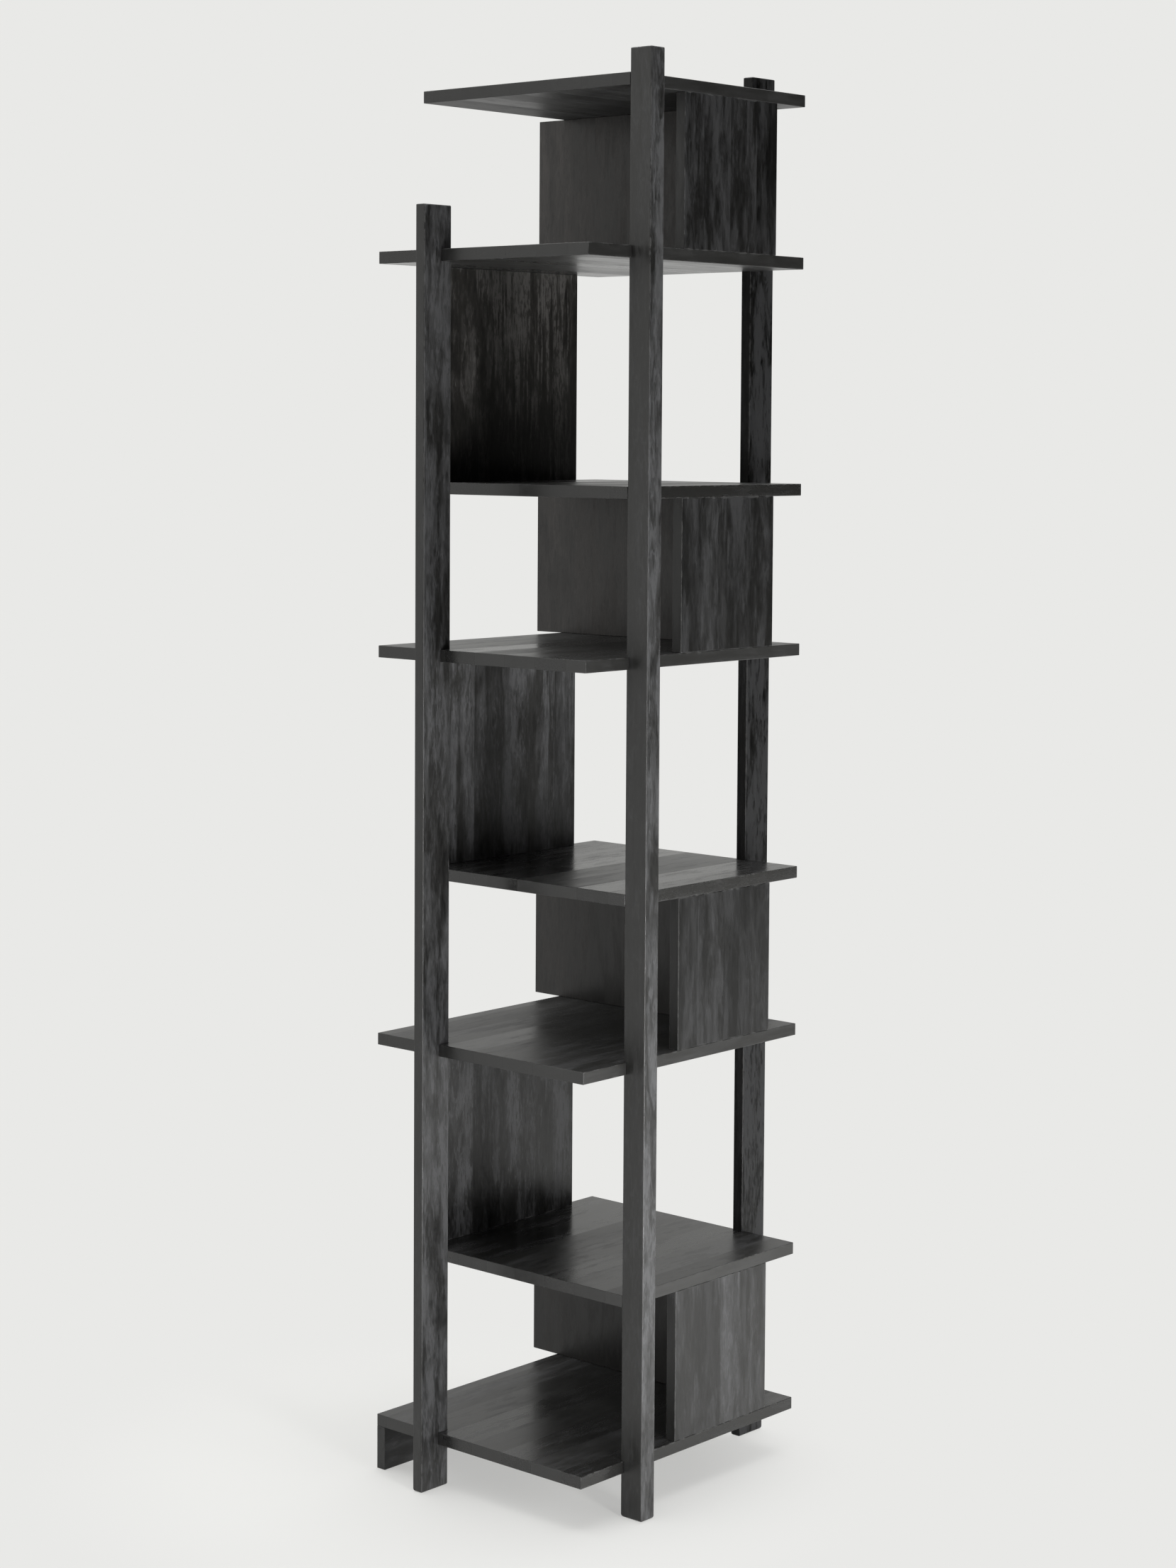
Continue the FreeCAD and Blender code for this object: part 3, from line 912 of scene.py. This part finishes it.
@dataclass
class Board:
    """One board or post, modelled over its CAD node."""

    node: str
    lie: Lie
    slot: Slot
    finish: StainedWood
    arris: float
    seed: int
    character: Character = Character()
    notches: tuple[str, ...] = ()
    foot: Optional[float] = None
    notch_overrun: float = 0.010
    low: Vector = field(init=False)
    high: Vector = field(init=False)
    piece: bpy.types.Object = field(init=False)

    def build(self, bench: Workbench) -> None:
        """Model the board.

        Args:
            bench: The hand work.
        """
        self.low, self.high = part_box(self.node)
        self.piece = bench.blank(self.node + "_wood", self.low, self.high)
        bench.mark_out(self.low, self.high)
        for post in self.notches:
            bench.notch(self.piece, *self.seat(post))
        bench.ease(self.piece, self.arris, self.foot or self.arris, random.Random(self.seed))
        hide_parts(self.node)
        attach(self.piece, BODY)

    def seat(self, post: str) -> tuple[Vector, Vector]:
        """Box of the notch that a post sits in, cut beyond the board where the post stands out of it.

        Args:
            post: Node of the post.

        Returns:
            The lowest and the highest corner of the notch.
        """
        low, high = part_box(post)
        for axis in range(3):
            if low[axis] < self.low[axis]:
                low[axis] = self.low[axis] - self.notch_overrun
            if high[axis] > self.high[axis]:
                high[axis] = self.high[axis] + self.notch_overrun
        return low, high

    def dress(self, effects: WoodEffects) -> None:
        """Give the board its finish."""
        coat(self.piece, self.finish.material(self, effects))
        log.info("%s: %d faces", self.piece.name, len(self.piece.data.polygons))


@dataclass
class SubAssembly:
    """Boards that are built and dressed together."""

    made: list[Board] = field(default_factory=list, init=False)

    def boards(self) -> list[Board]:
        """The boards in the order of their making."""
        raise NotImplementedError

    def build(self, bench: Workbench) -> None:
        """Model every board.

        Args:
            bench: The hand work.
        """
        self.made = self.boards()
        for board in self.made:
            board.build(bench)

    def dress(self, effects: WoodEffects) -> None:
        """Give every board its finish."""
        for board in self.made:
            board.dress(effects)


@dataclass
class ShelfStack(SubAssembly):
    """Wide and narrow shelves, notched round the posts."""

    storeys: int = 4
    arris: float = 0.0011
    finish: StainedWood = StainedWood(
        ground=(0.0160, 0.0158, 0.0150), cover=0.38, bold=(0.35, 0.70), patch=0.12, fleck=0.10, curl=0.10,
        smudge=0.15, crack=0.10, end_depth=0.55, rough=(0.30, 0.36), stave_rough=0.18, patch_rough=0.06,
        bump=0.08)
    wide_seed: int = 10
    wide_posts: tuple[str, ...] = ("front_post", "left_post", "rear_post")
    # First number of each character is the shelf's tone: partly its own stain, partly painted light and shade
    wide_characters: tuple[Character, ...] = (
        Character(1.10, dull=0.02), Character(1.12, dull=0.05), Character(), Character(dull=0.02))
    narrow_seed: int = 20
    narrow_posts: tuple[str, ...] = ("front_post", "rear_post")
    narrow_characters: tuple[Character, ...] = (
        Character(1.25, dull=-0.03), Character(1.25, dull=-0.06), Character(), Character(dull=0.18))

    def boards(self) -> list[Board]:
        """The shelves from the floor up, in each storey the wide one first.

        Returns:
            The boards.
        """
        boards = []
        for storey in range(1, self.storeys + 1):
            for width, seed, characters, posts in (
                ("wide", self.wide_seed, self.wide_characters, self.wide_posts),
                ("narrow", self.narrow_seed, self.narrow_characters, self.narrow_posts),
            ):
                boards.append(Board(f"{width}_shelf_{storey}", Lie.SHELF, Slot.SHELF, self.finish, self.arris,
                                    seed + storey, characters[storey - 1], posts))
        return boards


@dataclass
class Spine(SubAssembly):
    """Upright panels between the shelves, and the foot panel."""

    storeys: int = 4
    arris: float = 0.0010
    # The side panels' arrises are painted paler: partly worn stain, partly a painted highlight
    side: StainedWood = StainedWood(stave=0.058, wear_and_highlight_depth=0.45)
    runny: StainedWood = StainedWood(pale=(0.066, 0.066, 0.067), stave=0.058, wear_and_highlight_depth=0.45, run=0.90)
    back: StainedWood = StainedWood(ground=(0.020, 0.018, 0.017), pale=(0.040, 0.036, 0.034), cover=0.40,
                                    stave=0.062, tone_spread=0.25, gloss=0.40)
    right_seed: int = 30
    # First numbers are the right panels' tones: partly their own stain, partly painted shade, darker where
    # less light reaches them
    right_characters: tuple[Character, ...] = (
        Character(0.95, 0.6, runs=0.05), Character(0.39, 0.9),
        Character(0.45, 1.05, runs=0.07), Character(0.48, 1.1, runs=0.09))
    back_seed: int = 40
    # First numbers are the back panels' tones: partly their own stain, partly painted light and shade
    back_characters: tuple[Character, ...] = (
        Character(0.38), Character(0.68), Character(1.20), Character(1.06))
    left_seed: int = 50
    # First numbers are the left panels' tones: partly their own stain, partly painted light and shade
    left_characters: tuple[Character, ...] = (
        Character(0.53, 1.5, -0.14, runs=0.28), Character(1.28, 1.0, runs=0.32, runs_from=0.66),
        Character(1.05, 1.15, -0.30, runs=0.40, runs_from=0.36, tint=(1.04, 1.0, 0.94)))
    foot_seed: int = 60
    # The foot panel's tone: partly its own stain, partly painted shade under the bottom shelf
    foot_character: Character = Character(0.50)

    def boards(self) -> list[Board]:
        """The foot panel, then the panels of each storey from the floor up.

        Returns:
            The boards.
        """
        boards = [Board("foot_panel", Lie.RAIL, Slot.PANEL, self.side, self.arris, self.foot_seed,
                        self.foot_character)]
        for storey in range(1, self.storeys + 1):
            left = self.runny if storey == self.storeys - 1 else self.side
            for side, lie, finish, seed, characters in (
                ("right", Lie.SIDE, self.side, self.right_seed, self.right_characters),
                ("back", Lie.BACK, self.back, self.back_seed, self.back_characters),
                ("left", Lie.SIDE, left, self.left_seed, self.left_characters),
            ):
                if storey <= len(characters):
                    boards.append(Board(f"{side}_panel_{storey}", lie, Slot.PANEL, finish, self.arris,
                                        seed + storey, characters[storey - 1]))
        return boards


@dataclass
class Posts(SubAssembly):
    """The three posts that carry the shelves."""

    arris: float = 0.0022
    foot: float = 0.0045
    # The posts get a wider pale arris: partly worn stain, partly a painted highlight
    finish: StainedWood = StainedWood(cover=0.48, stave=0.400, fleck=0.30, crack=0.28, wear_and_highlight_width=0.0024)
    # First number of each character is the post's tone: partly its own stain, partly painted light and shade,
    # the rear post darkest
    each: tuple[tuple[str, int, Character], ...] = (
        ("front_post", 70, Character(1.06, 1.25)),
        ("left_post", 71, Character(0.96, 1.2)),
        ("rear_post", 72, Character(0.46, 2.4, shine=0.35)),
    )

    def boards(self) -> list[Board]:
        """The posts."""
        return [Board(node, Lie.SIDE, Slot.POST, self.finish, self.arris, seed, character, foot=self.foot)
                for node, seed, character in self.each]


@dataclass
class LooseTenons:
    """Hidden tenons, which keep their CAD solids."""

    ending: str = "_tenons"
    finish: BareWood = BareWood()

    def dress(self, nodes: dict[str, bpy.types.Object], effects: WoodEffects) -> None:
        """Give every group of tenons the bare wood.

        Args:
            nodes: CAD nodes by name.
            effects: Node groups of the wood.
        """
        material = self.finish.material("bare tenon wood", effects, Lie.SIDE)
        for name, node in nodes.items():
            if name.endswith(self.ending):
                coat(node, material)
                log.info("%s: bare wood", name)


@dataclass(frozen=True)
class Viewpoint:
    """Camera of the photograph: its place, its turn and what it frames."""

    place: Size = (-3.24200, -2.86956, 1.49568)
    yaw: float = 0.84396
    pitch: float = 0.06373
    roll: float = 0.00595
    focal: float = 4281.5
    shift: Span = (0.00315, -0.10468)
    sensor: float = 36.0

    def build(self) -> None:
        """Put the camera into the scene."""
        bpy.ops.object.select_all(action="DESELECT")
        bpy.ops.object.camera_add(location=self.place)
        camera = bpy.context.object
        level = Vector((sin(self.yaw), cos(self.yaw), 0.0))
        right = Vector((cos(self.yaw), -sin(self.yaw), 0.0))
        up = Vector((0.0, 0.0, 1.0))
        ahead = level * cos(self.pitch) - up * sin(self.pitch)
        above = level * sin(self.pitch) + up * cos(self.pitch)
        side = right * cos(self.roll) + above * sin(self.roll)
        above = above * cos(self.roll) - right * sin(self.roll)
        camera.rotation_euler = Matrix((side, above, -ahead)).transposed().to_euler()
        camera.data.sensor_width = self.sensor
        camera.data.lens = self.focal * self.sensor / PHOTO_HEIGHT
        camera.data.shift_x, camera.data.shift_y = self.shift
        bpy.context.scene.camera = camera


@dataclass(frozen=True)
class Lamp:
    """A soft box of the studio."""

    name: str
    place: Size
    aim: Size
    size: Span
    power: float

    def build(self) -> None:
        """Hang the lamp."""
        bpy.ops.object.select_all(action="DESELECT")
        turn = (Vector(self.aim) - Vector(self.place)).to_track_quat("-Z", "Y").to_euler()
        bpy.ops.object.light_add(type="AREA", location=self.place, rotation=turn)
        lamp = bpy.context.object
        lamp.name = self.name
        lamp.data.shape = "RECTANGLE"
        lamp.data.size, lamp.data.size_y = self.size
        lamp.data.energy = self.power


@dataclass(frozen=True)
class Studio:
    """Pale floor, surroundings that are bright behind the object and dark in front, and soft boxes."""

    # Surroundings
    pale: Colour = (0.8148, 0.8148, 0.7991)
    bright: float = 0.59
    warmth: float = 0.972
    turn: Span = (-0.35, 0.35)
    left_lift: float = 1.5
    left_turn: Span = (-0.6, 0.0)

    # Floor and the soft shadow on it
    floor: Colour = (0.66, 0.66, 0.647)
    floor_rough: float = 0.9
    floor_gloss: float = 0.1
    floor_turn: Span = (-0.8, 0.8)
    floor_radius: float = 30.0
    floor_sides: int = 128
    floor_drop: float = 0.0003
    shadow_middle: Size = (-0.14, 0.12, 0.0)
    shadow_reach: Span = (0.30, 0.66)
    shadow_depth: float = 0.46

    lamps: tuple[Lamp, ...] = (
        Lamp("overhead box", (0.2, 0.2, 4.5), (0.0, 0.0, 0.0), (4.0, 4.0), 270.0),
        Lamp("low key box", (-0.72, -1.95, 0.60), (0.0, 0.0, 0.4), (0.35, 0.9), 24.0),
        Lamp("far key box", (-1.05, -3.40, 0.45), (0.0, 0.0, 0.4), (0.5, 0.8), 24.0),
        Lamp("floor fill box", (0.15, -1.50, 0.12), (0.05, 0.0, 0.15), (0.6, 0.12), 13.0),
    )

    def build(self) -> None:
        """Set up the floor, the surroundings, the lamps and the view settings."""
        self.lay_floor()
        self.surround()
        for lamp in self.lamps:
            lamp.build()
        bpy.context.scene.view_settings.view_transform = "Standard"

    def lay_floor(self) -> None:
        """Lay a floor that keeps a soft shadow near the object and fades into the background further out."""
        bpy.ops.object.select_all(action="DESELECT")
        bpy.ops.mesh.primitive_circle_add(vertices=self.floor_sides, radius=self.floor_radius,
                                          fill_type="NGON", location=(0.0, 0.0, -self.floor_drop))
        floor = bpy.context.object
        floor.name = "studio_floor"
        material, graph, shader = open_material("studio floor")
        shader.inputs["Base Color"].default_value = (*self.floor, 1.0)
        shader.inputs["Roughness"].default_value = self.floor_rough
        shader.inputs["Specular IOR Level"].default_value = self.floor_gloss
        glow = graph.add("Emission", {"Color": (*self.pale, 1.0), "Strength": 1.0})
        place = graph.add("TexCoord").outputs["Object"]
        aside = graph.vector("SUBTRACT", place, self.shadow_middle)
        distance = graph.add("VectorMath", {0: aside}, operation="LENGTH").outputs["Value"]
        fade = graph.ramp(distance, *self.shadow_reach, 1.0 - self.shadow_depth, 1.0)
        behind = graph.ramp(graph.split(place)[1], *self.floor_turn)
        seen = graph.add("LightPath").outputs["Is Camera Ray"]
        share = graph.math("MULTIPLY", fade, graph.math("MAXIMUM", seen, behind))
        blend = graph.add("MixShader", {0: share, 1: shader.outputs[0], 2: glow.outputs[0]})
        output = material.node_tree.nodes["Material Output"]
        graph.fill(output.inputs["Surface"], blend.outputs[0])
        coat(floor, material)

    def surround(self) -> None:
        """Light the room: pale to the eye, otherwise bright behind the object and dark in front of it."""
        world = bpy.data.worlds.new("studio")
        bpy.context.scene.world = world
        world.use_nodes = True
        graph = Graph(world.node_tree)
        background = world.node_tree.nodes["Background"]
        direction = graph.add("TexCoord").outputs["Generated"]
        aside, behind, _ = graph.split(direction)
        left = graph.ramp(aside, *self.left_turn, self.left_lift, 1.0)
        level = graph.math("MULTIPLY", left, graph.ramp(behind, *self.turn, 0.0, self.bright))
        room = graph.join(level, level, graph.math("MULTIPLY", level, self.warmth))
        seen = graph.add("LightPath").outputs["Is Camera Ray"]
        graph.fill(background.inputs["Color"], graph.mix(seen, room, (*self.pale, 1.0)))


def main() -> None:
    """Build the bookshelf, its studio and its camera."""
    logging.basicConfig(level=logging.INFO, format="%(name)s %(message)s")
    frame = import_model()
    effects = WoodEffects(Grain())
    bench = Workbench()
    assemblies = (ShelfStack(), Spine(), Posts())
    for assembly in assemblies:
        assembly.build(bench)
    for assembly in assemblies:
        assembly.dress(effects)
    LooseTenons().dress(frame["nodes"], effects)
    Studio().build()
    Viewpoint().build()


if __name__ == "__main__":
    main()
